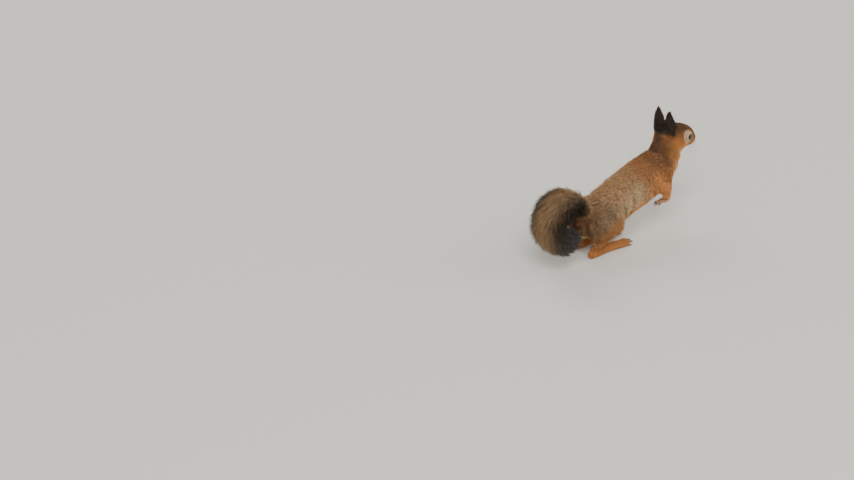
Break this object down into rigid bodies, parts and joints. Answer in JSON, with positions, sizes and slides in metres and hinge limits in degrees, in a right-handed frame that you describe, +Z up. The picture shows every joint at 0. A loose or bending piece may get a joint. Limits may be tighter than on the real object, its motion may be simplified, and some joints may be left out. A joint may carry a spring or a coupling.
{
  "type": "red squirrel model",
  "caption": "Still life-size model of a red squirrel at the push-off of a bound, hind feet flat, forepaws tucked, bushy tail arched over behind.",
  "frame": {"origin": "on the floor, under the middle of the model's outline", "axes": "+X towards the nose, +Y towards the squirrel's left, +Z up"},
  "size_m": [0.2282, 0.0572, 0.1236],
  "materials": {
    "coat_rufous": "soft reddish-brown fur, matt",
    "coat_grey": "grey-brown fur of the flanks and rump, matt",
    "coat_dark": "blackish-brown long fur of tail and ear tufts",
    "paw": "short fur on the paws",
    "bare_skin": "bare skin of nose, lids and pads, slightly moist",
    "claw": "dark horn of the claws",
    "eye": "wet, nearly black eye"
  },
  "bodies": {
    "root": {"head": "coat_rufous", "neck": "coat_rufous", "chest": "coat_rufous", "belly": "coat_grey", "rump": "coat_grey", "ear_left": "coat_dark", "ear_right": "coat_dark", "eye_left": "eye", "eye_right": "eye", "nose": "bare_skin", "upper_arm_left": "coat_rufous", "upper_arm_right": "coat_rufous", "forearm_left": "coat_rufous", "forearm_right": "coat_rufous", "hand_left": "paw", "hand_right": "paw", "thigh_left": "coat_grey", "thigh_right": "coat_grey", "shank_left": "coat_rufous", "shank_right": "coat_rufous", "foot_left": "paw", "foot_right": "paw", "tail_root": "coat_dark", "tail_rise": "coat_dark", "tail_fall": "coat_dark", "tail_tip": "coat_dark"}
  },
  "joints": []
}
